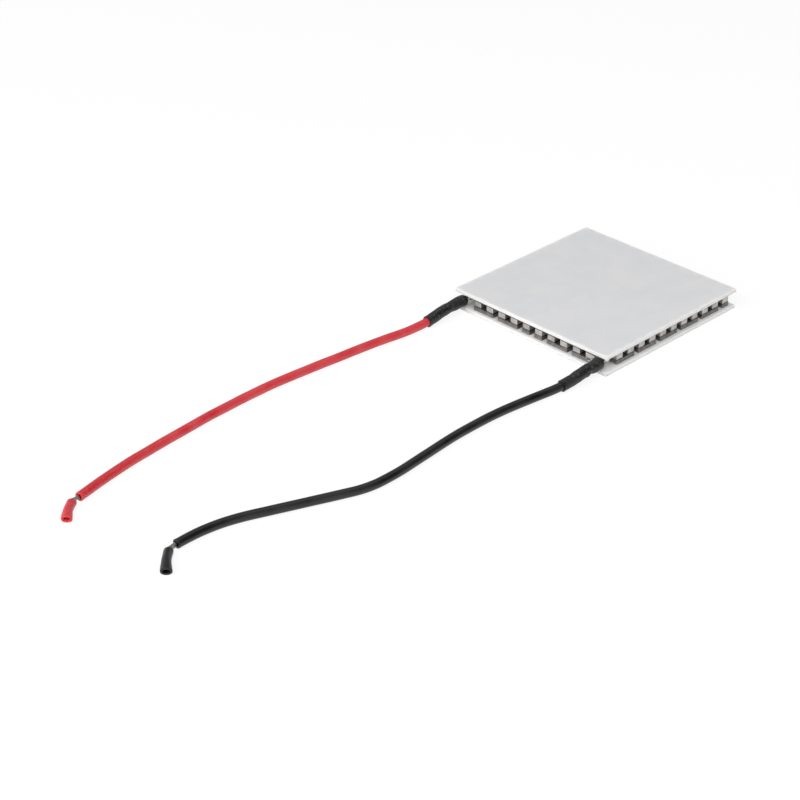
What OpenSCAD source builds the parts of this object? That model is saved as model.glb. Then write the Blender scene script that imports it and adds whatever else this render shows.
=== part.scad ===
// Thermoelectric cooling module: two square ceramic plates, a series chain of
// semiconductor legs soldered to copper tabs between them, and two free leads.
// Millimetres. The origin is the centre of the lower plate's underside, +Z points
// from the lower plate to the upper one, and the leads leave towards -Y.

/* [Plates] */
// Side of the two square ceramic plates
plate_side = 40; // [33:0.5:50]
// Thickness of each ceramic plate
plate_t = 0.7; // [0.5:0.05:1.2]
// Bare ceramic left between the outermost tabs and the plate's edge
edge_margin = 0.96; // [0.4:0.02:1.5]

/* [Copper tabs] */
// Width of a tab, and what its length adds to the pitch of the legs
tab_w = 2; // [1.5:0.05:2.4]
// Thickness of a tab's copper
tab_t = 0.65; // [0.3:0.05:1]
// Thickness of the metallised foot that a tab is brazed to
foot_t = 0.1; // [0.04:0.02:0.2]
// How far the foot stands out past the tab on every side
foot_out = 0.07; // [0.02:0.01:0.12]

/* [Legs] */
// Height of a semiconductor leg
leg_h = 1.2; // [0.8:0.1:2.5]
// How far a leg stands in from the edges of its tab
leg_inset = 0.1; // [0.04:0.02:0.3]
// Thickness of the solder between a leg and its tab
leg_solder_t = 0.1; // [0.04:0.02:0.2]
// How far the solder reaches out past the leg on every side
leg_solder_out = 0.05; // [0:0.01:0.08]

/* [Leads] */
// Outer diameter of a lead's insulation
lead_d = 1.75; // [1.2:0.05:2.2]
// Diameter of the twisted and tinned conductor
conductor_d = 0.76; // [0.56:0.02:0.9]
// Depth to which the conductor is sunk past the middle of its solder joint
conductor_bury = 0.3; // [0.1:0.05:0.4]
// How far a lead's solder joint stands in from the edges of its pad
joint_inset = 0.05; // [0:0.05:0.2]
// Solder under the conductor at the middle of its joint
joint_cover = 0.17; // [0.1:0.01:0.3]
// Length of the cut slug of insulation left on the red lead's end
red_slug_l = 5.1; // [3:0.1:8]
// Length of the cut slug of insulation left on the black lead's end
black_slug_l = 5.9; // [3:0.1:8]
// How far past the conductor's last bend a slug starts
slug_start = 0.45; // [0.15:0.05:0.8]
// Clearance between the conductor and the slug that grips it
slug_clear = 0; // [0:0.01:0.1]
// How far a slug stays round past the conductor's tip
slug_round = 0.2; // [0.1:0.1:0.8]
// How far a slug's mouth is pressed in from above and below
slug_press = 0.15; // [0:0.05:0.25]
// How far the pressed mouth spreads on either side
slug_spread = 0.22; // [0:0.02:0.3]

/* [Sleeves] */
// Wall of a shrunk sleeve
sleeve_wall = 0.25; // [0.15:0.05:0.4]
// Clearance between a sleeve and the insulation that it is shrunk on
sleeve_clear = 0; // [0:0.01:0.1]
// Swelling of a sleeve where it covers the start of the bare conductor
sleeve_bulge = 0.14; // [0:0.02:0.2]
// Least room between a sleeve and the two plates it passes between
sleeve_room = 0.1; // [0.05:0.05:0.3]
// Gap between a sleeve's inner end and the foot of its pad
sleeve_gap = 0.1; // [0.05:0.05:0.4]

/* [Hidden] */
// Places for legs along each side, and how many rows each half of the chain folds over
legs_per_side = 12;
half_side = legs_per_side / 2;
front_rows = legs_per_side - 2;
cell_count = legs_per_side * legs_per_side;

pitch = (plate_side - 2 * edge_margin - tab_w) / (legs_per_side - 1);
leg_w = tab_w - 2 * leg_inset;
leg_solder_w = leg_w + 2 * leg_solder_out;
gap_h = 2 * (foot_t + tab_t + leg_solder_t) + leg_h;
upper_z = plate_t + gap_h;
lower_solder_z = plate_t + foot_t + tab_t;
leg_z = lower_solder_z + leg_solder_t;
pad_z = upper_z - foot_t - tab_t;

lead_r = lead_d / 2;
conductor_r = conductor_d / 2;
joint_r = tab_w / 2 - joint_inset;
slug_bore_r = conductor_r + slug_clear;
sleeve_bore_r = lead_r + sleeve_clear;
sleeve_r = sleeve_bore_r + sleeve_wall;
sleeve_max_r = gap_h / 2 - sleeve_room;

// Each lead leaves between the plates, half-way up, at a corner cell of the grid
exit_x = (legs_per_side - 1) / 2 * pitch;
exit_y = -plate_side / 2;
exit_z = plate_t + gap_h / 2;
joint_h = pad_z - exit_z + conductor_r + joint_cover;
pad_y = -exit_x;
sleeve_y = pad_y - tab_w / 2 - foot_out - sleeve_gap;

// Routes of the leads from their exits. A point is [along X, along Y, share of the
// drop from exit to table still to come]. The insulation ends 3 points before the
// last; the last two points give the conductor's last bend and its tip in the slug.
red_route = [
    [0, -0.2, 1], [0, -2, 1], [0, -3.5, 1], [0, -5.7, 0.8], [0, -7.7, 0.5], [0, -10, 0.22],
    [-0.1, -12.5, 0.08], [-0.4, -16, 0], [-1, -20, 0], [-1.5, -24, 0], [-1.9, -28, 0],
    [-2.2, -32, 0], [-2.6, -36, 0], [-2.9, -40, 0], [-3.2, -44, 0], [-3.4, -48, 0],
    [-3.4, -52, 0], [-3.3, -56, 0], [-3.1, -60, 0], [-2.9, -64, 0], [-2.5, -68, 0],
    [-2.1, -72, 0], [-1.7, -76, 0], [-1.2, -80, 0], [-0.7, -84, 0], [0, -88, 0],
    [0.8, -92, 0], [1.5, -95, 0], [2.1, -97.6, 0],
    [2.2, -98.4, 0], [2.3, -99.2, 0], [3.7, -100.6, 0]
];
black_route = [
    [0, -0.2, 1], [0, -2, 1], [0, -3.5, 1], [0, -5.7, 0.8], [-0.1, -7.7, 0.5], [-0.4, -10, 0.22],
    [-0.8, -12.5, 0.08], [-1.4, -16, 0], [-1.9, -20, 0], [-2.3, -24, 0], [-2.5, -28, 0],
    [-2.5, -32, 0], [-2.4, -36, 0], [-2.1, -40, 0], [-1.7, -44, 0], [-1.3, -48, 0],
    [-0.9, -52, 0], [-0.8, -55.5, 0], [-0.9, -58.5, 0], [-1.5, -61.5, 0], [-2.8, -65, 0],
    [-4.4, -69, 0], [-6, -73, 0], [-7.6, -77, 0], [-9.2, -81, 0], [-10.4, -85, 0],
    [-11, -89, 0], [-11.1, -92, 0], [-11, -94.8, 0],
    [-10.9, -95.7, 0], [-10.7, -96.6, 0], [-9.2, -98, 0]
];
// Point of a lead's path at which its insulation starts, inside the sleeve
lead_start = 2;
// Swelling of a sleeve at each of its rings, as a share of its bulge; it is drawn in at
// its inner end
sleeve_swell = [-0.8, 1, 1, 0.4, 0.1, 0, 0];
// Pressing of a slug at each of its rings, as a share of its mouth's
slug_squash = [0, 0, 0, 0.5, 1];
cord_sides = 8;

// The series chain visits cell 0 to cell_count - 1. Its first half folds to and fro
// over the left half of the front rows and then zigzags along the two back rows; its
// second half is the mirror image, walked backwards.
function cell(n) =
    n >= cell_count / 2 ? mirrored(cell(cell_count - 1 - n))
    : n < half_side * front_rows ? folded_cell(n)
    : zigzag_cell(n - half_side * front_rows);

function mirrored(at) = [legs_per_side - 1 - at[0], at[1]];

function folded_cell(n) =
    let (row = floor(n / half_side))
    let (step = n % half_side)
    [row % 2 == 0 ? step : half_side - 1 - step, row];

function zigzag_cell(n) =
    let (column = floor(n / 2))
    [column, front_rows + (n + column) % 2];

// Middle of a cell in the module's frame
function place(at) = [for (v = at) (v - (legs_per_side - 1) / 2) * pitch];

// Bank of rows that holds a row, counted from 1 at the leads. The two back rows share one
function bank(row) = min(row, front_rows) + 1;

// Bank that holds the tab from cell n to cell n + 1
function tab_bank(n) = bank(min(cell(n)[1], cell(n + 1)[1]));

// Rows that make up a bank
function rows_of(bank_no) =
    bank_no > front_rows ? [front_rows : legs_per_side - 1] : [bank_no - 1 : bank_no - 1];

// The two front corner cells hold the leads' solder joints in place of legs
function has_leg(column, row) = row > 0 || (column > 0 && column < legs_per_side - 1);

module plate() {
    translate([-plate_side / 2, -plate_side / 2, 0])
        cube([plate_side, plate_side, plate_t]);
}

module lower_plate() {
    color("whitesmoke") plate();
}

module upper_plate() {
    color("whitesmoke") translate([0, 0, upper_z]) plate();
}

module block(size) {
    translate([-size[0] / 2, -size[1] / 2, 0]) cube(size);
}

// Tab from cell n to cell n + 1, standing on its foot at z = 0
module tab(n) {
    from = place(cell(n));
    to = place(cell(n + 1));
    long_x = abs(to[0] - from[0]) + tab_w;
    long_y = abs(to[1] - from[1]) + tab_w;
    translate([(from[0] + to[0]) / 2, (from[1] + to[1]) / 2, 0]) {
        block([long_x + 2 * foot_out, long_y + 2 * foot_out, foot_t]);
        block([long_x, long_y, foot_t + tab_t]);
    }
}

module lower_tabs(bank_no) {
    color("darkgray") translate([0, 0, plate_t])
        for (n = [1 : 2 : cell_count - 3])
            if (tab_bank(n) == bank_no) tab(n);
}

// Tab from cell n to cell n + 1, hanging from the upper plate
module hung_tab(n) {
    color("darkgray") translate([0, 0, upper_z]) mirror([0, 0, 1]) tab(n);
}

module upper_tabs(bank_no) {
    for (n = [2 : 2 : cell_count - 4])
        if (tab_bank(n) == bank_no) hung_tab(n);
}

// The two ends of the chain are upper tabs that carry one leg and one lead each
module red_lead_pad() {
    hung_tab(0);
}

module black_lead_pad() {
    hung_tab(cell_count - 2);
}

// Legs of one bank whose column and row add up to an even (0) or an odd (1) number
module legs(bank_no, parity) {
    for (row = rows_of(bank_no))
        for (column = [0 : legs_per_side - 1])
            if (has_leg(column, row) && (column + row) % 2 == parity)
                translate([place([column, row])[0], place([column, row])[1], leg_z])
                    block([leg_w, leg_w, leg_h]);
}

module p_legs(bank_no) {
    color("silver") legs(bank_no, 0);
}

module n_legs(bank_no) {
    color("lightgray") legs(bank_no, 1);
}

// Solder between every leg and the tabs on one side of it
module leg_solder(z) {
    color("gray")
        for (row = [0 : legs_per_side - 1])
            for (column = [0 : legs_per_side - 1])
                if (has_leg(column, row))
                    translate([place([column, row])[0], place([column, row])[1], z])
                        block([leg_solder_w, leg_solder_w, leg_solder_t]);
}

module lower_leg_solder() {
    leg_solder(lower_solder_z);
}

module upper_leg_solder() {
    leg_solder(leg_z + leg_h);
}

// Part of the conductor that runs straight from inside the solder joint to the insulation
module joint_conductor(x) {
    start_y = cord_path(red_route, x)[lead_start][1];
    translate([x, start_y, exit_z]) rotate([-90, 0, 0])
        cylinder(h = pad_y + conductor_bury - start_y, r = conductor_r, $fn = 48);
}

// Dome of solder that hangs from a lead pad, with the conductor sunk in it
module solder_joint(x) {
    dome = [for (turn = [0 : 15 : 90]) [joint_r * cos(turn), -joint_h * sin(turn)]];
    color("silver")
        difference() {
            translate([x, pad_y, pad_z])
                rotate_extrude($fn = 48) polygon(concat([[0, 0]], dome));
            joint_conductor(x);
        }
}

// Whole path of a lead, from its sleeve's inner end to inside its slug
function cord_path(route, x) = concat(
    [[x, sleeve_y, exit_z]],
    [for (p = route) [x + p[0], exit_y + p[1], lead_r + p[2] * (exit_z - lead_r)]]
);

function insulation_end(path) = len(path) - 4;

function unit(v) = v / norm(v);

function heading(path, i) =
    unit(path[min(i + 1, len(path) - 1)] - path[max(i - 1, 0)]);

// Points round the path at its point i, on an oval of half-width and half-height r
function ring(path, i, r) =
    let (along = heading(path, i))
    let (side = unit(cross(along, [0, 0, 1])))
    let (up = cross(side, along))
    [for (k = [0 : cord_sides - 1])
        let (turn = (k + 0.5) * 360 / cord_sides)
        path[i] + r[0] * cos(turn) * side + r[1] * sin(turn) * up];

// Triangles between two rings of points that start at a and at b
function band(a, b) = [
    for (k = [0 : cord_sides - 1])
        let (next = (k + 1) % cord_sides)
        each [[a + k, b + next, b + k], [a + k, a + next, b + next]]
];

// Triangles of a run of rings, the first of which starts at the point numbered start
function skin(start, rings) = [
    for (i = [0 : rings - 2]) each band(start + i * cord_sides, start + (i + 1) * cord_sides)
];

// Solid cord along the path between two of its points
module cord(path, first, last, r) {
    rings = last - first + 1;
    points = [for (i = [first:last]) each ring(path, i, [r, r])];
    start_cap = [for (k = [cord_sides - 1 : -1 : 0]) k];
    end_cap = [for (k = [0 : cord_sides - 1]) (rings - 1) * cord_sides + k];
    polyhedron(points, concat(skin(0, rings), [start_cap, end_cap]));
}

// Conductor in the solder joint, and its bare stretch that ends in the slug
module conductor(path) {
    color("gainsboro") {
        joint_conductor(path[0][0]);
        cord(path, insulation_end(path), len(path) - 1, conductor_r);
    }
}

// Open tube along the first points of the path, from its ovals outside and inside
module tube(path, outer, inner) {
    rings = len(outer);
    bore = rings * cord_sides;
    far = (rings - 1) * cord_sides;
    points = [
        for (i = [0 : rings - 1]) each ring(path, i, outer[i]),
        for (i = [0 : rings - 1]) each ring(path, i, inner[i])
    ];
    bore_skin = [for (face = skin(bore, rings)) [face[2], face[1], face[0]]];
    polyhedron(points, concat(skin(0, rings), bore_skin, band(bore, 0), band(far, bore + far)));
}

// Shrunk sleeve from its inner end to the ring where its swelling list ends
module sleeve(path) {
    outer = [
        for (share = sleeve_swell)
            let (r = min(sleeve_r + share * sleeve_bulge, sleeve_max_r))
            [r, r]
    ];
    tube(path, outer, [for (share = sleeve_swell) [sleeve_bore_r, sleeve_bore_r]]);
}

// Slug of insulation pulled along the conductor, round where it grips the conductor
// and pressed to an oval at its open mouth
module slug(path, length) {
    near = path[len(path) - 2];
    toward = path[len(path) - 1] - near;
    tip = norm(toward);
    round_end = tip + slug_round;
    mouth = slug_start + length;
    stations = [slug_start, tip, round_end, (round_end + mouth) / 2, mouth];
    axis = [
        for (i = [0 : len(stations) - 1])
            near + stations[i] * unit(toward) - [0, 0, slug_squash[i] * slug_press]
    ];
    spread = [for (share = slug_squash) share * [slug_spread, -slug_press]];
    tube(axis, [for (v = spread) v + [lead_r, lead_r]], [for (v = spread) v + [slug_bore_r, slug_bore_r]]);
}

red_path = cord_path(red_route, -exit_x);
black_path = cord_path(black_route, exit_x);

module red_solder_joint() {
    solder_joint(-exit_x);
}

module black_solder_joint() {
    solder_joint(exit_x);
}

module red_conductor() {
    conductor(red_path);
}

module black_conductor() {
    conductor(black_path);
}

module red_lead() {
    color("crimson") cord(red_path, lead_start, insulation_end(red_path), lead_r);
}

module black_lead() {
    color("black") cord(black_path, lead_start, insulation_end(black_path), lead_r);
}

module red_sleeve() {
    color("dimgray") sleeve(red_path);
}

module black_sleeve() {
    color("dimgray") sleeve(black_path);
}

module red_slug() {
    color("crimson") slug(red_path, red_slug_l);
}

module black_slug() {
    color("black") slug(black_path, black_slug_l);
}

lower_plate();
upper_plate();
lower_leg_solder();
upper_leg_solder();
for (row = [1:front_rows]) {
    lower_tabs(row);
    upper_tabs(row);
    p_legs(row);
    n_legs(row);
}
lower_tabs(front_rows + 1);  // lower_tabs_back
upper_tabs(front_rows + 1);  // upper_tabs_back
p_legs(front_rows + 1);  // p_legs_back
n_legs(front_rows + 1);  // n_legs_back
red_lead_pad();
red_solder_joint();
red_conductor();
red_lead();
red_sleeve();
red_slug();
black_lead_pad();
black_solder_joint();
black_conductor();
black_lead();
black_sleeve();
black_slug();
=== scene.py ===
import math
import random

import bpy
import numpy as np
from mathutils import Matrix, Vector, noise


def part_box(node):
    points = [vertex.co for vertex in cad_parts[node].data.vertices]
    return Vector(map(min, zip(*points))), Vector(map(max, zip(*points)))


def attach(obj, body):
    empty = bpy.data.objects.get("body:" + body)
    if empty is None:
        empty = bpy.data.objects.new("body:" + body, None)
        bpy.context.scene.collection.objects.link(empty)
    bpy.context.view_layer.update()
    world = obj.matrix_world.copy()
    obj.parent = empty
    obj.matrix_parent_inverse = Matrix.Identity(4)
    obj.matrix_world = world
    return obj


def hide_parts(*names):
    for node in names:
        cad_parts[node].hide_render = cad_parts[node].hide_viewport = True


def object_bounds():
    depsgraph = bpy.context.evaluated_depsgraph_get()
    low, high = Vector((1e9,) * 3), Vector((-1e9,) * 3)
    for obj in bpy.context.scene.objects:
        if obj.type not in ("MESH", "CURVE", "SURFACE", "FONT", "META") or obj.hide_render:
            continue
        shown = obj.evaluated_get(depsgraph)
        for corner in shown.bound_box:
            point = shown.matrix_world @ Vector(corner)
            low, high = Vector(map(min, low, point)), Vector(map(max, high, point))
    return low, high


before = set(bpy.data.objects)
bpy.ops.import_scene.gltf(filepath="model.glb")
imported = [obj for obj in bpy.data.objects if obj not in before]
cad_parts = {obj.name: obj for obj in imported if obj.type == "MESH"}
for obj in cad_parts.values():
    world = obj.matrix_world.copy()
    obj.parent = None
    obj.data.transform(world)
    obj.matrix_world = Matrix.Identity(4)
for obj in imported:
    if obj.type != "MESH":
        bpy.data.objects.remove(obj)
cad_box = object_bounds()

MM = 0.001
UP = Vector((0, 0, 1))
MIDDLE_Z = (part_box("lower_plate")[1].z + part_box("upper_plate")[0].z) / 2
SCENE = bpy.context.scene
rng = random.Random(12)

# ---------------------------------------------------------------- camera

CAMERA_AT = (236.6 * MM, -288.5 * MM, 197.7 * MM)
CAMERA_AZIMUTH = 45.43
CAMERA_ELEVATION = 30.61
CAMERA_LENS = 93.28


def make_camera():
    """Camera at the photograph's angle, aimed by azimuth and elevation in degrees."""
    data = bpy.data.cameras.new("camera")
    data.lens = CAMERA_LENS
    data.sensor_width = 36
    data.clip_start = 0.01
    camera = bpy.data.objects.new("camera", data)
    SCENE.collection.objects.link(camera)
    azimuth, elevation = math.radians(CAMERA_AZIMUTH), math.radians(CAMERA_ELEVATION)
    level = math.cos(elevation)
    back = Vector((math.sin(azimuth) * level, -math.cos(azimuth) * level, math.sin(elevation)))
    camera.location = CAMERA_AT
    camera.rotation_euler = (-back).to_track_quat("-Z", "Y").to_euler()
    SCENE.camera = camera


make_camera()

# ---------------------------------------------------------------- node helpers

WHITE = (1, 1, 1, 1)


def rgb(r, g, b):
    """An 8-bit screen colour as the linear RGBA that a shader takes."""
    def linear(v):
        v /= 255
        return v / 12.92 if v <= 0.04045 else ((v + 0.055) / 1.055) ** 2.4
    return (linear(r), linear(g), linear(b), 1)


class Nodes:
    """A node tree under construction. An input is a constant or another node's socket."""

    def __init__(self, tree):
        self.tree = tree

    def add(self, kind, inputs=None, **settings):
        """A new node with its settings and its inputs, by name or number."""
        node = self.tree.nodes.new(kind)
        for name, value in settings.items():
            setattr(node, name, value)
        for name, value in (inputs or {}).items():
            self.put(node.inputs[name], value)
        return node

    def put(self, socket, value):
        """Sets an input to a constant, or links it to another node's socket."""
        if isinstance(value, bpy.types.NodeSocket):
            self.tree.links.new(value, socket)
        else:
            socket.default_value = value

    def math(self, operation, a, b=0.0):
        return self.add("ShaderNodeMath", {0: a, 1: b}, operation=operation).outputs[0]

    def between(self, value, low, high, start, end):
        """start where value is low or less, end where it is high or more, and smooth between them."""
        inputs = {"Value": value, "From Min": low, "From Max": high, "To Min": start, "To Max": end}
        return self.add("ShaderNodeMapRange", inputs, interpolation_type="SMOOTHSTEP").outputs[0]

    def mix(self, share, a, b):
        """Colour a where share is 0 and colour b where it is 1."""
        return self.add("ShaderNodeMix", {0: share, 6: a, 7: b}, data_type="RGBA").outputs[2]

    def seen_as_background(self):
        """1 for rays from the camera, a glossy surface or a transmitting one, else 0."""
        path = self.add("ShaderNodeLightPath").outputs
        seen = self.math("MAXIMUM", path["Is Camera Ray"], path["Is Glossy Ray"])
        return self.math("MAXIMUM", seen, path["Is Transmission Ray"])


class Graph(Nodes):
    """A procedural material under construction. Coordinates are metres in the object's frame."""

    def __init__(self, name):
        self.material = bpy.data.materials.new(name)
        self.material.use_nodes = True
        super().__init__(self.material.node_tree)
        self.shader = self.tree.nodes["Principled BSDF"]
        self.coords = self.add("ShaderNodeTexCoord").outputs

    def set(self, **inputs):
        """Sets the Principled shader's sockets; an underscore in a name stands for a space."""
        for name, value in inputs.items():
            self.put(self.shader.inputs[name.replace("_", " ")], value)
        return self.material

    def noise(self, scale, detail=2.0, roughness=0.5, stretch=(1, 1, 1)):
        """Noise of about one lump in every 1 / scale metres, stretched along the axes."""
        mapped = self.add("ShaderNodeMapping", {"Vector": self.coords["Object"], "Scale": stretch})
        inputs = {"Vector": mapped.outputs[0], "Scale": scale, "Detail": detail, "Roughness": roughness}
        return self.add("ShaderNodeTexNoise", inputs).outputs["Fac"]

    def z_of(self, vector):
        return self.add("ShaderNodeSeparateXYZ", {"Vector": vector}).outputs[2]

    def bump(self, height, distance):
        """Bump of a height map whose full range is distance metres high."""
        inputs = {"Height": height, "Distance": distance, "Strength": 1.0}
        return self.add("ShaderNodeBump", inputs).outputs[0]


# ---------------------------------------------------------------- materials

# Distances from the middle between the plates over which a tab turns to a pale band at its base, partly
# the solder collar's own colour and partly a painted highlight where the foot's top edge catches light,
# and over which it turns to a painted shadow on the foot's side
COLLAR_AND_HIGHLIGHT = (1.23 * MM, 1.27 * MM)
FOOT_SHADOW = (1.355 * MM, 1.375 * MM)


def ceramic():
    """Sintered alumina: matt and faintly mottled, greyer where copper lies under its faces."""
    g = Graph("alumina")
    cloud = g.noise(190, 4, 0.6)
    face = g.mix(g.between(cloud, 0.35, 0.65, 0, 1), rgb(226, 227, 229), rgb(230, 230, 231))
    under = g.add("ShaderNodeAttribute", attribute_name="copper_under").outputs["Fac"]
    face = g.mix(under, rgb(249, 248, 246), face)
    # Painted shade: the plate's sides take a darker colour than its bare faces, so the lamps, which light
    # the sides most, leave them short of pure white
    flat = g.between(g.math("ABSOLUTE", g.z_of(g.coords["Normal"])), 0.35, 0.9, 0, 1)
    colour = g.mix(flat, rgb(233, 232, 230), face)
    grain = g.noise(5200, 3, 0.65)
    speck = g.between(g.noise(2400, 1), 0.72, 0.78, 0, 1)
    colour = g.mix(g.math("MULTIPLY", speck, 0.25), colour, rgb(196, 196, 200))
    lapping = g.noise(2600, 2, 0.5, (1, 0.06, 1))
    height = g.math("ADD", grain, g.math("MULTIPLY", lapping, 0.5))
    return g.set(
        Base_Color=colour,
        Roughness=g.between(grain, 0.3, 0.7, 0.5, 0.64),
        Subsurface_Weight=0.4,
        Subsurface_Radius=(1.0, 1.0, 0.95),
        Subsurface_Scale=0.5 * MM,
        Normal=g.bump(height, 4e-6),
    )


def plated_copper():
    """Nickel-plated copper tabs, streaked by the flux, with a pale band at the base, partly solder and
    partly painted highlight, over a painted shadow on the foot.
    """
    g = Graph("plated_copper")
    stain = g.noise(900, 4, 0.65)
    streak = g.noise(4000, 2, 0.5, (0.25, 0.25, 1))
    colour = g.mix(g.between(stain, 0.35, 0.68, 0, 1), rgb(112, 108, 105), rgb(150, 147, 145))
    colour = g.mix(g.between(streak, 0.5, 0.75, 0, 0.5), colour, rgb(84, 81, 79))
    from_middle = g.math("ABSOLUTE", g.math("SUBTRACT", g.z_of(g.coords["Object"]), MIDDLE_Z))
    # Painted highlight, then painted shadow: a pale band at the tab's base where the foot's top edge
    # catches light (partly the collar's solder), then a dark band for the shade on the foot's side
    colour = g.mix(g.between(from_middle, *COLLAR_AND_HIGHLIGHT, 0, 0.7), colour, rgb(176, 172, 168))
    colour = g.mix(g.between(from_middle, *FOOT_SHADOW, 0, 0.85), colour, rgb(66, 62, 58))
    height = g.math("ADD", stain, g.math("MULTIPLY", streak, 0.4))
    return g.set(
        Base_Color=colour,
        Metallic=0.85,
        Roughness=g.between(stain, 0.3, 0.7, 0.34, 0.52),
        Normal=g.bump(height, 1.4e-5),
    )


def leg_alloy(name, dark, light):
    """Sawn bismuth telluride: a grey semimetal with fine cleavage streaks."""
    g = Graph(name)
    cleavage = g.noise(3600, 3, 0.6, (1, 1, 0.3))
    patch = g.noise(800, 2, 0.5)
    colour = g.mix(g.between(patch, 0.35, 0.65, 0, 1), dark, light)
    colour = g.mix(g.between(cleavage, 0.55, 0.75, 0, 0.35), colour, rgb(120, 116, 112))
    return g.set(
        Base_Color=colour,
        Metallic=0.7,
        Roughness=g.between(cleavage, 0.3, 0.7, 0.36, 0.55),
        Normal=g.bump(cleavage, 1.6e-5),
    )


def solder(name, dark, light, roughness):
    """Solder, frozen with a slightly wrinkled skin."""
    g = Graph(name)
    wrinkle = g.noise(2600, 3, 0.55)
    colour = g.mix(g.between(wrinkle, 0.4, 0.62, 0, 1), dark, light)
    return g.set(
        Base_Color=colour,
        Metallic=0.9,
        Roughness=g.between(wrinkle, 0.3, 0.7, roughness, roughness + 0.15),
        Normal=g.bump(wrinkle, 2.5e-5),
    )


def tinned_copper():
    """Tinned strands, a little tarnished."""
    g = Graph("tinned_copper")
    tarnish = g.noise(1800, 3, 0.6)
    colour = g.mix(g.between(tarnish, 0.4, 0.7, 0, 1), rgb(206, 202, 196), rgb(142, 128, 116))
    return g.set(
        Base_Color=colour,
        Metallic=1.0,
        Roughness=g.between(tarnish, 0.3, 0.7, 0.22, 0.4),
        Normal=g.bump(tarnish, 6e-6),
    )


def pvc(name, colour, worn, roughness, translucency):
    """Extruded PVC: smooth, with faint scuffs and uneven gloss."""
    g = Graph(name)
    scuff = g.between(g.noise(1500, 4, 0.7, (1, 0.35, 1)), 0.56, 0.74, 0, 1)
    pebble = g.noise(3000, 2, 0.5)
    cloud = g.noise(260, 2, 0.5)
    base = g.mix(g.between(cloud, 0.3, 0.7, 0, 0.5), colour, worn)
    base = g.mix(g.math("MULTIPLY", scuff, 0.3), base, worn)
    gloss = g.between(cloud, 0.3, 0.7, roughness, roughness + 0.1)
    return g.set(
        Base_Color=base,
        Roughness=g.math("ADD", gloss, g.math("MULTIPLY", scuff, 0.12)),
        IOR=1.5,
        Subsurface_Weight=translucency,
        Subsurface_Radius=(1.0, 0.3, 0.3),
        Subsurface_Scale=1.0 * MM,
        Normal=g.bump(pebble, 9e-6),
    )


def shrunk_sleeve():
    """Heat-shrink tubing: satin black with a leathery skin and pale dusty scuffs."""
    g = Graph("shrunk_sleeve")
    wrinkle = g.noise(1300, 4, 0.62, (1, 0.7, 1))
    dust = g.between(g.noise(1900, 4, 0.75), 0.57, 0.7, 0, 1)
    colour = g.mix(g.between(wrinkle, 0.35, 0.65, 0, 1), rgb(11, 11, 11), rgb(30, 30, 30))
    colour = g.mix(g.math("MULTIPLY", dust, 0.5), colour, rgb(140, 140, 140))
    return g.set(
        Base_Color=colour,
        Roughness=g.between(wrinkle, 0.3, 0.7, 0.36, 0.52),
        IOR=1.5,
        Normal=g.bump(wrinkle, 3.5e-5),
    )


ALUMINA = ceramic()
TAB_METAL = plated_copper()
P_ALLOY = leg_alloy("p_alloy", rgb(186, 182, 179), rgb(208, 204, 200))
N_ALLOY = leg_alloy("n_alloy", rgb(174, 171, 168), rgb(198, 195, 192))
# The legs' solder is a darker grey than the leads': partly flux-stained and partly painted shade, standing
# for the shadow under the legs
LEG_SOLDER = solder("leg_solder", rgb(86, 82, 80), rgb(124, 120, 117), roughness=0.42)
LEAD_SOLDER = solder("lead_solder", rgb(170, 168, 165), rgb(222, 221, 219), roughness=0.2)
TINNED = tinned_copper()
RED_PVC = pvc(
    "red_pvc", rgb(199, 48, 56), rgb(216, 86, 92), roughness=0.28, translucency=0.6,
)
BLACK_PVC = pvc(
    "black_pvc", rgb(12, 12, 13), rgb(38, 38, 39), roughness=0.27, translucency=0.0,
)
SLEEVE = shrunk_sleeve()

# ---------------------------------------------------------------- mesh helpers


class Skin:
    """Points and faces of one piece under construction."""

    def __init__(self):
        self.points = []
        self.faces = []

    def loft(self, rings, caps=True):
        """Joins rings of equally many points, each right-handed about the way they run.

        Without caps the last ring joins the first.
        """
        count = len(rings[0])
        start = len(self.points)
        for points in rings:
            self.points.extend(tuple(p) for p in points)
        pairs = list(zip(range(len(rings)), range(1, len(rings))))
        if not caps:
            pairs.append((len(rings) - 1, 0))
        for low, high in pairs:
            a, b = start + low * count, start + high * count
            for k in range(count):
                n = (k + 1) % count
                self.faces.append((a + k, a + n, b + n, b + k))
        if caps:
            end = start + (len(rings) - 1) * count
            self.faces.append(tuple(start + k for k in reversed(range(count))))
            self.faces.append(tuple(end + k for k in range(count)))

    def piece(self, name, material, slot, *nodes, sharp=40):
        """Makes the piece, which stands for CAD nodes, and shades it smooth below an angle in degrees."""
        mesh = bpy.data.meshes.new(name)
        mesh.from_pydata(self.points, [], self.faces)
        mesh.materials.append(material)
        mesh.shade_smooth()
        mesh.set_sharp_from_angle(angle=math.radians(sharp))
        obj = bpy.data.objects.new(name, mesh)
        SCENE.collection.objects.link(obj)
        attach(obj, "root")
        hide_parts(*nodes)
        return obj


def blend(t, a, b):
    """From a to b as t goes from 0 to 1, starting and ending gently."""
    t = min(max(t, 0), 1)
    return a + (b - a) * t * t * (3 - 2 * t)


def smooth_line(points, step):
    """Points about step apart on a smooth curve through the given ones."""
    p = [2 * points[0] - points[1], *points, 2 * points[-1] - points[-2]]
    line = []
    for i in range(1, len(p) - 2):
        count = max(1, round((p[i + 1] - p[i]).length / step))
        for k in range(count):
            t = k / count
            bend = 2 * p[i - 1] - 5 * p[i] + 4 * p[i + 1] - p[i + 2]
            turn = 3 * (p[i] - p[i + 1]) + p[i + 2] - p[i - 1]
            line.append(p[i] + 0.5 * t * (p[i + 1] - p[i - 1] + t * (bend + t * turn)))
    line.append(points[-1])
    return line


def directions(line):
    """Unit direction of a line at each of its points."""
    last = len(line) - 1
    return [(line[min(i + 1, last)] - line[max(i - 1, 0)]).normalized() for i in range(last + 1)]


def distances(line):
    """Distance along a line to each of its points."""
    total = [0.0]
    for a, b in zip(line, line[1:]):
        total.append(total[-1] + (b - a).length)
    return total


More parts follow.
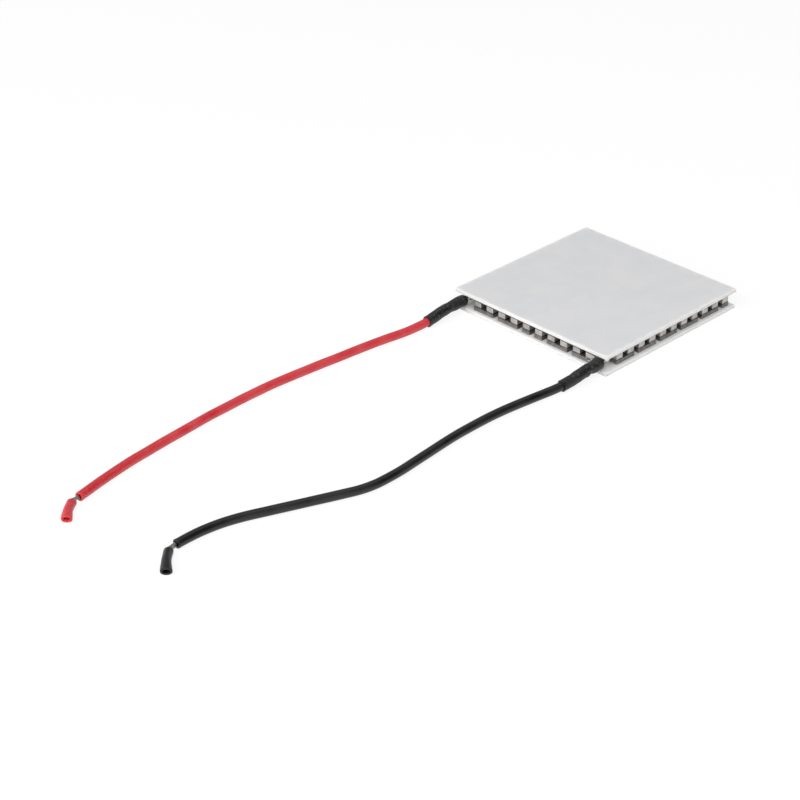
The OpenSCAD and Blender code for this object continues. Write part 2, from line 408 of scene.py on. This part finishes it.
def ring(centre, along, sides, radius):
    """Points round a centre, right-handed about along.

    For an angle, radius gives one radius or a pair of offsets, across and up.
    """
    across = UP.cross(along).normalized()
    up = along.cross(across)
    points = []
    for k in range(sides):
        turn = 2 * math.pi * k / sides
        r = radius(turn)
        x, y = r if isinstance(r, tuple) else (r * math.cos(turn), r * math.sin(turn))
        points.append(centre + x * across + y * up)
    return points


def hump(distance, spread):
    """1 at no distance, falling smoothly to 0 over about twice the spread."""
    return math.exp(-(distance / spread) ** 2)


# ---------------------------------------------------------------- leads

# Offsets in mm from the point where each lead passes the plate's edge: along X, along Y,
# and the share of the drop from there to the table still to come
RED_ROUTE = [
    (0, -0.2, 1), (0, -2, 1), (0, -3.5, 1), (0, -5.7, 0.8), (0, -7.7, 0.5), (0, -10, 0.22),
    (-0.1, -12.5, 0.08), (-0.4, -16, 0), (-1, -20, 0), (-1.5, -24, 0), (-1.9, -28, 0),
    (-2.2, -32, 0), (-2.6, -36, 0), (-2.9, -40, 0), (-3.2, -44, 0), (-3.4, -48, 0),
    (-3.4, -52, 0), (-3.3, -56, 0), (-3.1, -60, 0), (-2.9, -64, 0), (-2.5, -68, 0),
    (-2.1, -72, 0), (-1.7, -76, 0), (-1.2, -80, 0), (-0.7, -84, 0), (0, -88, 0),
    (0.8, -92, 0), (1.5, -95, 0), (2.1, -97.6, 0),
    (2.2, -98.4, 0), (2.3, -99.2, 0), (3.7, -100.6, 0),
]
BLACK_ROUTE = [
    (0, -0.2, 1), (0, -2, 1), (0, -3.5, 1), (0, -5.7, 0.8), (-0.1, -7.7, 0.5), (-0.4, -10, 0.22),
    (-0.8, -12.5, 0.08), (-1.4, -16, 0), (-1.9, -20, 0), (-2.3, -24, 0), (-2.5, -28, 0),
    (-2.5, -32, 0), (-2.4, -36, 0), (-2.1, -40, 0), (-1.7, -44, 0), (-1.3, -48, 0),
    (-0.9, -52, 0), (-0.8, -55.5, 0), (-0.9, -58.5, 0), (-1.5, -61.5, 0), (-2.8, -65, 0),
    (-4.4, -69, 0), (-6, -73, 0), (-7.6, -77, 0), (-9.2, -81, 0), (-10.4, -85, 0),
    (-11, -89, 0), (-11.1, -92, 0), (-11, -94.8, 0),
    (-10.9, -95.7, 0), (-10.7, -96.6, 0), (-9.2, -98, 0),
]
# Points of a route at which the insulation starts, inside the sleeve, and ends
INSULATION_START = 1
INSULATION_END = -4
LEAD_R = 0.875 * MM
LEAD_SIDES = 28
LEAD_RIPPLE = 0.012 * MM
# Radius of the insulation's end inside the sleeve, as a share of the lead's
HIDDEN_END = 0.7
# The insulation's cut end, from its outside over the cut into its bore: how far back each
# ring lies in mm, and its share of the lead's radius
CUT_END = ((0.4, 1), (0.07, 1.02), (0, 0.96), (-0.01, 0.66), (0.08, 0.6), (1.1, 0.52))
CUT_RAG = 0.09 * MM

CONDUCTOR_R = 0.38 * MM
STRAND_R = 0.085 * MM
OUTER_STRANDS = 8
STRAND_SIDES = 7
# Length of a strand's whole turn, how far in radians its place round the middle may be off,
# and how far the strands spread where they are bare
STRAND_LAY = 11 * MM
STRAND_STRAY = 0.12
SPLAY = 0.1 * MM

SLUG_START = 0.45 * MM
SLUG_LIP = 0.07 * MM
SLUG_STEPS = 24
# A slug stays round over SLUG_ROUND of its length, at SLUG_SLIM of the lead's radius, apart
# from a bulge near its start that has the lead's whole radius
SLUG_ROUND = 0.3
SLUG_SLIM = 0.97
SLUG_BULGE_AT = 0.5 * MM
SLUG_BULGE_SPREAD = 0.6 * MM
# Unevenness of a slug's surface, as a share of its radius
SLUG_RIPPLE = 0.05
# Half-sizes of each slug's pressed mouth: outside across and up, then its hole across and up
RED_MOUTH = (1.02 * MM, 0.7 * MM, 0.66 * MM, 0.38 * MM)
BLACK_MOUTH = (1.04 * MM, 0.72 * MM, 0.64 * MM, 0.38 * MM)

# A sleeve ends SLEEVE_TAIL past the route's point SLEEVE_END, counted from 0
SLEEVE_END = 5
SLEEVE_TAIL = 0.1 * MM
SLEEVE_SIDES = 40
# A sleeve narrows from the joint to the wire over SLEEVE_TAPER. It is drawn in at its inner
# end, and rolled up into a lip at its outer end
SLEEVE_R_AT_JOINT = 1.18 * MM
SLEEVE_R_ON_WIRE = 1.14 * MM
SLEEVE_TAPER = 5.5 * MM
SLEEVE_DRAWN_IN = 0.24 * MM
SLEEVE_DRAWN_LENGTH = 0.7 * MM
SLEEVE_ROLL = 0.05 * MM
SLEEVE_ROLL_SPREAD = 0.22 * MM
SLEEVE_RIPPLE = 0.05 * MM
SLEEVE_EDGE = 0.1 * MM
# The bore's gap round the conductor at the sleeve's inner end, and how soon it fits the lead
SLEEVE_THROAT = 0.08 * MM
SLEEVE_THROAT_LENGTH = 1.8 * MM
# Lumps (and dents, below 0) of each sleeve: distance from its inner end and spread in mm,
# angle round it in degrees from +X through the top, and height in mm
RED_LUMPS = [
    (3.2, 1.1, -50, 0.1), (4.3, 1.0, 130, -0.12), (1.6, 0.9, 130, 0.05), (8.4, 1.4, 130, 0.04),
]
BLACK_LUMPS = [
    (2.4, 0.9, -50, 0.14), (3.9, 0.4, -50, -0.1), (4.7, 0.5, -50, 0.14), (6.6, 1.6, -50, 0.05),
    (0.9, 0.8, 130, 0.28), (3.2, 0.9, 130, -0.05),
]

JOINT_SIDES = 32
JOINT_STEPS = 12
JOINT_UNEVEN = 0.09
# How far a joint's solder is drawn out under the conductor, and over what height
JOINT_DRAWN_OUT = 0.17 * MM
JOINT_DRAWN_SPREAD = 0.5 * MM
BLOB_SIDES = 16
BLOB_STEPS = 10
BLOB_UNEVEN = 0.35
# Lumps of solder beside the black lead's joint: offset from the middle of the joint where
# it meets its pad, and half-sizes, all in mm along X, Y and Z
BLACK_SPLASH = [
    ((-2.1, -0.82, -0.7), (0.45, 0.2, 0.45)),
    ((-2.5, -0.96, -1.35), (0.4, 0.13, 0.3)),
    ((-3.1, -0.9, -0.85), (0.34, 0.09, 0.26)),
    ((-3.0, -1.0, -1.75), (0.45, 0.08, 0.16)),
    ((-3.95, -0.92, -1.25), (0.22, 0.08, 0.2)),
]


class Lead:
    """One lead: its places in the frame, and the unevenness that all its pieces share."""

    def __init__(self, colour, route, pvc_material, seed):
        self.colour = colour
        self.pvc = pvc_material
        self.seed = seed
        low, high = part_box(f"{colour}_solder_joint")
        self.joint = Vector(((low.x + high.x) / 2, (low.y + high.y) / 2, high.z))
        self.joint_low = low
        self.exit = Vector((self.joint.x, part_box("lower_plate")[0].y, MIDDLE_Z))
        self.sleeve_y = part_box(f"{colour}_sleeve")[1].y
        self.route = [
            self.exit + Vector((x * MM, y * MM, (1 - drop) * (LEAD_R - self.exit.z)))
            for x, y, drop in route
        ]
        self.line = smooth_line(self.route[INSULATION_START:INSULATION_END + 1], step=0.5 * MM)

    def ripple(self, along, turn, size, fineness=1.0):
        """Smooth unevenness of a tube's surface at a distance along it and an angle round it."""
        x, y = fineness * math.cos(turn), fineness * math.sin(turn)
        return size * noise.noise(Vector((x, y, self.seed * 7.3 + along / MM)))


def insulation(lead):
    """Extruded insulation, cut a little raggedly at its far end, where the strands leave its bore."""
    line = lead.line
    way = directions(line)
    length = distances(line)
    skin = Skin()

    def body(i):
        return lambda turn: LEAD_R + lead.ripple(length[i] / 4, turn, LEAD_RIPPLE)

    def rag(k):
        return lead.ripple(0, 2 * math.pi * k / LEAD_SIDES, CUT_RAG, fineness=1.6)

    def cut(back, share):
        around = ring(line[-1], way[-1], LEAD_SIDES, lambda turn: share * LEAD_R)
        return [p - (back * MM + rag(k)) * way[-1] for k, p in enumerate(around)]

    rings = [ring(line[0], way[0], LEAD_SIDES, lambda turn: HIDDEN_END * LEAD_R)]
    rings += [ring(line[i], way[i], LEAD_SIDES, body(i)) for i in range(1, len(line) - 2)]
    rings += [cut(back, share) for back, share in CUT_END]
    skin.loft(rings)
    name = f"{lead.colour}_insulation"
    return skin.piece(name, lead.pvc, name, f"{lead.colour}_lead", sharp=60)


def strands(skin, line, seed, splay=0.0):
    """Twisted strands along a line, one in the middle and the others round it; splay spreads these."""
    way = directions(line)
    length = distances(line)
    draw = random.Random(seed)
    for spacing, count in ((0, 1), (CONDUCTOR_R - STRAND_R, OUTER_STRANDS)):
        for k in range(count):
            start = 2 * math.pi * k / count + draw.uniform(-STRAND_STRAY, STRAND_STRAY)
            stray = draw.uniform(-1, 1) * splay
            rings = []
            for i, at in enumerate(line):
                share = length[i] / length[-1]
                turn = start + length[i] / STRAND_LAY * 2 * math.pi
                out = spacing + stray * math.sin(math.pi * share)
                across = UP.cross(way[i]).normalized()
                up = way[i].cross(across)
                centre = at + out * (math.cos(turn) * across + math.sin(turn) * up)
                rings.append(ring(centre, way[i], STRAND_SIDES, lambda turn: STRAND_R))
            skin.loft(rings)


def conductor(lead):
    """Tinned strands in the solder joint, and the bare stretch that ends inside the slug."""
    skin = Skin()
    inner = Vector((lead.joint.x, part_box(f"{lead.colour}_conductor")[1].y, lead.exit.z))
    near = [inner.lerp(lead.route[INSULATION_START], k / 8) for k in range(9)]
    strands(skin, near, lead.seed)
    gone_in = lead.route[INSULATION_END].lerp(lead.route[INSULATION_END - 1], 0.3)
    far = smooth_line([gone_in, *lead.route[INSULATION_END:]], step=0.15 * MM)
    strands(skin, far, lead.seed + 10, SPLAY)
    node = f"{lead.colour}_conductor"
    return skin.piece(f"{lead.colour}_strands", TINNED, "tinned_strand", node, sharp=60)


def slug(lead, length, mouth, lean, drift):
    """Cut piece of insulation pulled along the conductor: round where it grips, pressed at its mouth.

    It bows sideways by lean at its middle and drift at its mouth.
    """
    way = (lead.route[-1] - lead.route[-2]).normalized()
    near = lead.route[-2] + SLUG_START * way
    side = UP.cross(way).normalized()
    press_wide, press_high, hole_wide, hole_high = mouth
    skin = Skin()

    def place(s):
        share = s / length
        squash = blend((share - SLUG_ROUND) / (1 - SLUG_ROUND), 0, 1)
        drop = squash * (LEAD_R - press_high)
        bow = lean * math.sin(math.pi * share) + drift * share
        return near + s * way + bow * side - drop * UP, squash

    def outer(s, inset=0.0):
        centre, squash = place(s)
        fat = SLUG_SLIM + (1 - SLUG_SLIM) * hump(s - SLUG_BULGE_AT, SLUG_BULGE_SPREAD)
        wide = blend(squash, LEAD_R * fat, press_wide) - inset
        high = blend(squash, LEAD_R * fat, press_high) - inset

        def shape(turn):
            bump = 1 + lead.ripple(s / 2, turn, SLUG_RIPPLE)
            return wide * bump * math.cos(turn), high * bump * math.sin(turn)
        return ring(centre, way, LEAD_SIDES, shape)

    def inner(s, flare=0.0):
        centre, squash = place(s)
        wide = blend(squash, CONDUCTOR_R, hole_wide) + flare
        high = blend(squash, CONDUCTOR_R, hole_high) + flare
        return ring(centre, way, LEAD_SIDES, lambda turn: (wide * math.cos(turn), high * math.sin(turn)))

    steps = [length * k / SLUG_STEPS for k in range(1, SLUG_STEPS)]
    rings = [outer(0, SLUG_LIP)] + [outer(s) for s in [SLUG_LIP] + steps + [length - SLUG_LIP]]
    rings += [outer(length, SLUG_LIP), inner(length, SLUG_LIP), inner(length - SLUG_LIP)]
    rings += [inner(s) for s in reversed(steps)] + [inner(SLUG_LIP), inner(0, 0.5 * SLUG_LIP)]
    skin.loft(rings, caps=False)
    name = f"{lead.colour}_end_slug"
    return skin.piece(name, lead.pvc, f"{lead.colour}_insulation", f"{lead.colour}_slug", sharp=60)


def sleeve(lead, lumps):
    """Shrunk sleeve: drawn in round its inner end, lumpy over the joint, with a rolled lip on the wire."""
    start = Vector((lead.joint.x, lead.sleeve_y, lead.exit.z))
    last_point, beyond = lead.route[SLEEVE_END:SLEEVE_END + 2]
    tail = last_point + SLEEVE_TAIL * (beyond - last_point).normalized()
    line = smooth_line([start, *lead.route[:SLEEVE_END + 1], tail], step=0.2 * MM)
    way = directions(line)
    length = distances(line)
    last = len(line) - 1
    skin = Skin()

    def outer(i, inset=0.0):
        s = length[i]

        def shape(turn):
            r = blend(s / SLEEVE_TAPER, SLEEVE_R_AT_JOINT, SLEEVE_R_ON_WIRE)
            r -= blend(1 - s / SLEEVE_DRAWN_LENGTH, 0, SLEEVE_DRAWN_IN)
            for at, spread, angle, size in lumps:
                facing = 0.5 + 0.5 * math.cos(turn - math.radians(angle))
                r += size * MM * hump(s / MM - at, spread) * facing ** 2
            r += SLEEVE_ROLL * hump(length[-1] - s, SLEEVE_ROLL_SPREAD)
            r += lead.ripple(s * 0.7, turn, SLEEVE_RIPPLE, fineness=1.3)
            return r - inset
        return ring(line[i], way[i], SLEEVE_SIDES, shape)

    def inner(i):
        r = blend(length[i] / SLEEVE_THROAT_LENGTH, CONDUCTOR_R + SLEEVE_THROAT, LEAD_R)
        return ring(line[i], way[i], SLEEVE_SIDES, lambda turn: r)

    rings = [outer(0, SLEEVE_EDGE)] + [outer(i) for i in range(1, last)]
    rings += [outer(last, 0.2 * SLEEVE_EDGE), outer(last, SLEEVE_EDGE)]
    rings += [inner(i) for i in reversed(range(last + 1))]
    skin.loft(rings, caps=False)
    name = f"{lead.colour}_shrunk_sleeve"
    return skin.piece(name, SLEEVE, "sleeve", f"{lead.colour}_sleeve", sharp=50)


def blob(skin, centre, half, seed):
    """A lumpy drop of solder of the given half-sizes."""
    rings = []
    for k in range(1, BLOB_STEPS):
        polar = math.pi * k / BLOB_STEPS
        points = []
        for n in range(BLOB_SIDES):
            turn = 2 * math.pi * n / BLOB_SIDES
            unit = Vector((
                math.sin(polar) * math.cos(turn),
                math.sin(polar) * math.sin(turn),
                -math.cos(polar),
            ))
            r = 1 + BLOB_UNEVEN * noise.noise(unit * 1.4 + Vector((seed * 3.1, centre.x / MM, 0)))
            points.append(centre + Vector([half[i] * unit[i] * r for i in range(3)]))
        rings.append(points)
    skin.loft(rings)


def solder_joint(lead, splash):
    """Dome of solder under a lead's pad, drawn out along the conductor, and a splash beside it."""
    skin = Skin()
    radius = lead.joint.x - lead.joint_low.x
    depth = lead.joint.z - lead.joint_low.z
    rings = []
    for k in range(1, JOINT_STEPS + 1):
        rise = math.radians(90 - 90 * k / JOINT_STEPS)
        z = lead.joint.z - depth * math.sin(rise)
        points = []
        for n in range(JOINT_SIDES):
            turn = 2 * math.pi * n / JOINT_SIDES
            lumpy = 1 + JOINT_UNEVEN * noise.noise((math.cos(turn), math.sin(turn), z / MM))
            toward_wire = max(0, -math.sin(turn)) ** 6
            r = radius * math.cos(rise) * lumpy
            r += JOINT_DRAWN_OUT * toward_wire * hump(z - lead.exit.z, JOINT_DRAWN_SPREAD)
            points.append((lead.joint.x + r * math.cos(turn), lead.joint.y + r * math.sin(turn), z))
        rings.append(points)
    skin.loft(rings)
    for offset, half in splash:
        blob(skin, lead.joint + Vector(offset) * MM, [size * MM for size in half], lead.seed)
    node = f"{lead.colour}_solder_joint"
    skin.piece(f"{lead.colour}_joint", LEAD_SOLDER, "lead_solder", node, sharp=70)


red = Lead("red", RED_ROUTE, RED_PVC, 1)
black = Lead("black", BLACK_ROUTE, BLACK_PVC, 2)
red_wire, black_wire = insulation(red), insulation(black)
red_on = [
    conductor(red),
    sleeve(red, RED_LUMPS),
    slug(red, length=5.05 * MM, mouth=RED_MOUTH, lean=-0.22 * MM, drift=-0.18 * MM),
]
black_on = [
    conductor(black),
    sleeve(black, BLACK_LUMPS),
    slug(black, length=5.8 * MM, mouth=BLACK_MOUTH, lean=-0.18 * MM, drift=0),
]
solder_joint(red, [])
solder_joint(black, BLACK_SPLASH)

# ---------------------------------------------------------------- tabs and legs

TAB_NODES = sorted(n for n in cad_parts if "_tabs_" in n or n.endswith("_lead_pad"))
LEG_NODES = sorted(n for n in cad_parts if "_legs_" in n)

TAB_EASE = 0.05 * MM
TAB_CORNER = 0.14 * MM
TAB_WAIST = 0.006 * MM
FOOT_CORNER = 0.16 * MM
FOOT_EASE = 0.01 * MM
FOOT_EASE_HEIGHT = 0.04 * MM
FOOT_NECK = 0.012 * MM
# The solder's collar round a tab at its ledge: half the step up to it from the foot, how
# far it stands out from the tab, and how high it climbs
COLLAR_STEP = 0.01 * MM
COLLAR_OUT = 0.028 * MM
COLLAR_CLIMB = 0.07 * MM
LEG_CORNER = 0.05 * MM
LEG_SIZE_SPREAD = 0.012
# Rings of a leg: share of its height, and how far each is drawn in, in mm
LEG_RINGS = (
    (0, 0.03), (0.03, 0.005), (0.25, 0), (0.5, 0), (0.75, 0), (0.97, 0.005), (1, 0.03),
)


def solids(node):
    """Points of each separate solid of a CAD node."""
    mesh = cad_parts[node].data
    keys = [tuple(round(c * 1e7) for c in v.co) for v in mesh.vertices]
    group = {}

    def root(key):
        while group.setdefault(key, key) != key:
            key = group[key]
        return key

    for polygon in mesh.polygons:
        first = root(keys[polygon.vertices[0]])
        for v in polygon.vertices[1:]:
            group[root(keys[v])] = first
    found = {}
    for key in sorted(set(keys)):
        found.setdefault(root(key), []).append([c * 1e-7 for c in key])
    return [np.array(found[name]) for name in sorted(found)]


def levels(points):
    """Heights of a solid's levels, from the lowest, each with the corners of its outline's box."""
    found = []
    for z in sorted(set(points[:, 2])):
        at = points[points[:, 2] == z]
        found.append((z, at[:, :2].min(0), at[:, :2].max(0)))
    return found


def outline(low, high, z, inset, corner, sway=None, steps=4, sides=3):
    """Rounded rectangle between two corners, anticlockwise from above; sway moves each of its points."""
    low, high = low + inset, high - inset
    corner = max(corner - inset, 0.01 * MM)
    middles = (
        (high[0] - corner, high[1] - corner, 0),
        (low[0] + corner, high[1] - corner, 90),
        (low[0] + corner, low[1] + corner, 180),
        (high[0] - corner, low[1] + corner, 270),
    )

    def on_corner(n, degrees):
        x, y, start = middles[n % 4]
        turn = math.radians(start + degrees)
        return Vector((x + corner * math.cos(turn), y + corner * math.sin(turn), z))

    points = []
    for n in range(4):
        arc = [on_corner(n, 90 * k / steps) for k in range(steps + 1)]
        following = on_corner(n + 1, 0)
        points += arc + [arc[-1].lerp(following, k / (sides + 1)) for k in range(1, sides + 1)]
    return [p + sway(p) for p in points] if sway else points


def unevenness(size, fineness):
    """A function that gives a point a small sideways shift, the same on every run."""
    shift = Vector([rng.uniform(0, 100) for _ in range(3)])

    def sway(p):
        at = p * (fineness / MM) + shift
        return Vector((noise.noise(at), noise.noise(at + Vector((9, 4, 7))), 0)) * size
    return sway


def add_tab(skin, points, hung):
    """A punched copper tab with eased edges, on a foot whose solder climbs its side."""
    rows = levels(points)
    if hung:
        rows.reverse()
    base, foot_low, foot_high = rows[0]
    ledge = rows[1][0]
    face, low, high = rows[-1]
    way = -1 if hung else 1
    foot = unevenness(size=0.03 * MM, fineness=0.9)
    side = unevenness(size=0.025 * MM, fineness=0.5)
    rings = [
        outline(foot_low, foot_high, base, FOOT_EASE, FOOT_CORNER, foot),
        outline(foot_low, foot_high, base + way * FOOT_EASE_HEIGHT, 0, FOOT_CORNER, foot),
        outline(foot_low, foot_high, ledge - way * COLLAR_STEP, FOOT_NECK, FOOT_CORNER, foot),
        outline(low, high, ledge + way * COLLAR_STEP, -COLLAR_OUT, FOOT_CORNER, side),
        outline(low, high, ledge + way * COLLAR_CLIMB, 0, TAB_CORNER, side),
        outline(low, high, (ledge + face) / 2, TAB_WAIST, TAB_CORNER, side),
        outline(low, high, face - way * TAB_EASE, 0, TAB_CORNER, side),
        outline(low, high, face - way * 0.3 * TAB_EASE, 0.3 * TAB_EASE, TAB_CORNER, side),
        outline(low, high, face, TAB_EASE, TAB_CORNER, side),
    ]
    if hung:
        rings.reverse()
    skin.loft(rings)


def add_leg(skin, points):
    """A leg diced from an ingot, with slightly chipped edges and uneven sawn faces."""
    (bottom, low, high), (top, _, _) = levels(points)
    chip = unevenness(size=0.035 * MM, fineness=2.6)
    saw = unevenness(size=0.03 * MM, fineness=0.8)
    slack = rng.uniform(-LEG_SIZE_SPREAD, LEG_SIZE_SPREAD) * MM
    rings = []
    for share, inset in LEG_RINGS:
        z = bottom + share * (top - bottom)
        sway = chip if share < 0.1 or share > 0.9 else saw
        drawn_in = inset * MM + slack
        rings.append(outline(low, high, z, drawn_in, LEG_CORNER, sway, steps=2, sides=4))
    skin.loft(rings)


def add_leg_solder(skin, points, leg_above):
    """Solder between a leg and a tab, wetting the tab's face and climbing the leg a little."""
    (bottom, low, high), (top, _, _) = levels(points)
    tab_z, leg_z = (bottom, top) if leg_above else (top, bottom)
    way = 1 if leg_above else -1
    flow = unevenness(size=0.06 * MM, fineness=1.1)
    climb = rng.uniform(0.03, 0.12) * MM
    rings = [
        outline(low, high, tab_z, -0.01 * MM, 0.1 * MM, flow),
        outline(low, high, tab_z + way * 0.03 * MM, 0, 0.1 * MM, flow),
        outline(low, high, leg_z, 0.02 * MM, 0.08 * MM, flow),
        outline(low, high, leg_z + way * climb, 0.035 * MM, 0.06 * MM),
        outline(low, high, leg_z + way * climb, 0.09 * MM, 0.05 * MM),
    ]
    if not leg_above:
        rings.reverse()
    skin.loft(rings)


def make_tabs():
    """A piece for each CAD node of tabs, and for the pad of each lead."""
    for node in TAB_NODES:
        skin = Skin()
        for points in solids(node):
            add_tab(skin, points, hung=not node.startswith("lower"))
        skin.piece(f"{node}_copper", TAB_METAL, "tab_metal", node, sharp=35)


def make_legs():
    """A piece for each CAD node of legs, which are all of one alloy."""
    for node in LEG_NODES:
        kind = node[0]
        skin = Skin()
        for points in solids(node):
            add_leg(skin, points)
        skin.piece(f"{node}_diced", P_ALLOY if kind == "p" else N_ALLOY, f"{kind}_leg", node, sharp=35)


def make_leg_solder():
    """A piece for the solder at the lower ends of the legs, and one for that at their upper ends."""
    for side in ("lower", "upper"):
        skin = Skin()
        node = f"{side}_leg_solder"
        for points in solids(node):
            add_leg_solder(skin, points, side == "lower")
        skin.piece(f"{node}_fillets", LEG_SOLDER, "leg_solder", node, sharp=50)


make_tabs()
make_legs()
make_leg_solder()

# ---------------------------------------------------------------- plates

PLATE_CELLS = 120
PLATE_EASE = 0.04 * MM
SNAP_DEPTH = 0.012 * MM
# How far the ceramic blurs the edges of the copper under it, and how strongly copper greys it
SHOW_BLUR = 0.55 * MM
SHOW_GAIN = 3.2


def copper_boxes(prefixes):
    """Lowest and highest X and Y of every tab that a plate carries, one row for each."""
    rows = []
    for node in TAB_NODES:
        if node.startswith(prefixes):
            for points in solids(node):
                rows.append([*points[:, :2].min(0), *points[:, :2].max(0)])
    return np.array(rows)


def show_through(points, tabs):
    """How much the copper under each point greys the ceramic: its cover there, blurred by the ceramic."""
    def edge(distance):
        return 1 / (1 + np.exp(-np.clip(distance / SHOW_BLUR, -30, 30)))

    cover = np.zeros(len(points))
    for x0, y0, x1, y1 in tabs:
        across = edge(points[:, 0] - x0) * edge(x1 - points[:, 0])
        cover += across * edge(points[:, 1] - y0) * edge(y1 - points[:, 1])
    return np.clip(SHOW_GAIN * cover, 0, 1)


def plate(side, tabs):
    """A snapped alumina plate. Its faces carry, point by point, how much copper shows through."""
    node = f"{side}_plate"
    low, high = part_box(node)
    half = (high.x - low.x) / 2
    cells = PLATE_CELLS
    skin = Skin()

    def spot(u, v, inset):
        return (half - inset) * (2 * u / cells - 1), (half - inset) * (2 * v / cells - 1)

    def grid(z):
        start = len(skin.points)
        for v in range(cells + 1):
            for u in range(cells + 1):
                skin.points.append((*spot(u, v, PLATE_EASE), z))
        return lambda u, v: start + v * (cells + 1) + u

    rim = [(u, 0) for u in range(cells)] + [(cells, v) for v in range(cells)]
    rim += [(cells - u, cells) for u in range(cells)] + [(0, cells - v) for v in range(cells)]
    under, over = grid(low.z), grid(high.z)
    loops = [[under(u, v) for u, v in rim]]
    rough = unevenness(size=0.022 * MM, fineness=1.7)
    edge_rings = (
        (low.z + 0.3 * PLATE_EASE, 0.3 * PLATE_EASE),
        (low.z + PLATE_EASE, 0),
        ((low.z + high.z) / 2, SNAP_DEPTH),
        (high.z - PLATE_EASE, 0),
        (high.z - 0.3 * PLATE_EASE, 0.3 * PLATE_EASE),
    )
    for z, inset in edge_rings:
        start = len(skin.points)
        for u, v in rim:
            p = Vector((*spot(u, v, inset + SNAP_DEPTH), z))
            skin.points.append(tuple(p + rough(p)))
        loops.append([start + k for k in range(len(rim))])
    loops.append([over(u, v) for u, v in rim])
    for a, b in zip(loops, loops[1:]):
        for k in range(len(rim)):
            n = (k + 1) % len(rim)
            skin.faces.append((a[k], a[n], b[n], b[k]))
    for v in range(cells):
        for u in range(cells):
            skin.faces.append((over(u, v), over(u + 1, v), over(u + 1, v + 1), over(u, v + 1)))
            skin.faces.append((under(u, v), under(u, v + 1), under(u + 1, v + 1), under(u + 1, v)))
    obj = skin.piece(f"{side}_ceramic", ALUMINA, f"{side}_ceramic", node, sharp=50)
    shown = show_through(np.array(skin.points)[:, :2], tabs)
    attribute = obj.data.attributes.new("copper_under", "FLOAT", "POINT")
    attribute.data.foreach_set("value", shown.astype(np.float32))


plate("lower", copper_boxes(("lower",)))
plate("upper", copper_boxes(("upper", "red", "black")))

# ---------------------------------------------------------------- stage and light

FLOOR_HALF = 3.0
FLOOR_GAP = 0.02 * MM
# Share of the floor that glows for rays that see it as background, and its strength
FLOOR_WHITE = 0.75
FLOOR_GLOW = 1.1
AMBIENT = 0.2
LIGHT_AIM = Vector((0, -0.04, 0))
# Dark patches of the room that gloss alone sees: the way to each, the cosines from that
# way at its edge and at its core, and the share of white left in the core
DARK_PATCHES = (
    ((0.6, 0.6, 0.5), 0.6, 0.92, 0.12),
    ((-0.62, 0.6, 0.5), 0.85, 0.97, 0.35),
)


def make_floor():
    """White floor that keeps a faint shadow: most of what the camera sees of it is plain white."""
    g = Graph("white_floor")
    g.set(Base_Color=rgb(238, 238, 238), Roughness=0.9, Specular_IOR_Level=0.1)
    glow = g.add("ShaderNodeEmission", {"Color": WHITE, "Strength": FLOOR_GLOW}).outputs[0]
    share = g.math("MULTIPLY", g.seen_as_background(), FLOOR_WHITE)
    mixed = g.add("ShaderNodeMixShader", {0: share, 1: g.shader.outputs[0], 2: glow})
    g.put(g.tree.nodes["Material Output"].inputs["Surface"], mixed.outputs[0])
    mesh = bpy.data.meshes.new("floor")
    corners = [(-1, -1), (1, -1), (1, 1), (-1, 1)]
    mesh.from_pydata([(x * FLOOR_HALF, y * FLOOR_HALF, 0) for x, y in corners], [], [(0, 1, 2, 3)])
    mesh.materials.append(g.material)
    floor = bpy.data.objects.new("floor", mesh)
    floor.location.z = cad_box[0].z - FLOOR_GAP
    SCENE.collection.objects.link(floor)


def make_world():
    """A white room: plain white behind the object, dim as a light, and with dark patches for gloss."""
    world = bpy.data.worlds.new("soft_white_room")
    world.use_nodes = True
    g = Nodes(world.node_tree)
    direction = g.add("ShaderNodeTexCoord").outputs["Generated"]
    shade = 1.0
    for toward, edge, core, left in DARK_PATCHES:
        inputs = {0: direction, 1: Vector(toward).normalized()}
        cosine = g.add("ShaderNodeVectorMath", inputs, operation="DOT_PRODUCT").outputs["Value"]
        shade = g.math("MULTIPLY", shade, g.between(cosine, edge, core, 1, left))
    in_gloss = g.add("ShaderNodeLightPath").outputs["Is Glossy Ray"]
    background = g.tree.nodes["Background"].inputs
    g.put(background["Color"], g.mix(in_gloss, WHITE, shade))
    g.put(background["Strength"], g.between(g.seen_as_background(), 0, 1, AMBIENT, 1))
    SCENE.world = world


def softbox(name, at, size, watts):
    """A square area lamp that looks at the object. Gloss shows the white room and not the lamp."""
    data = bpy.data.lights.new(name, "AREA")
    data.shape = "SQUARE"
    data.size = size
    data.energy = watts
    lamp = bpy.data.objects.new(name, data)
    SCENE.collection.objects.link(lamp)
    lamp.visible_glossy = False
    lamp.location = at
    lamp.rotation_euler = (LIGHT_AIM - Vector(at)).to_track_quat("-Z", "Y").to_euler()


make_floor()
make_world()
softbox("key", at=(0.5, -0.55, 0.8), size=0.9, watts=8.5)
softbox("left", at=(-0.2, -0.9, 0.45), size=0.7, watts=5.3)
softbox("right", at=(0.95, 0.05, 0.42), size=0.7, watts=1.4)
SCENE.view_settings.view_transform = "Standard"
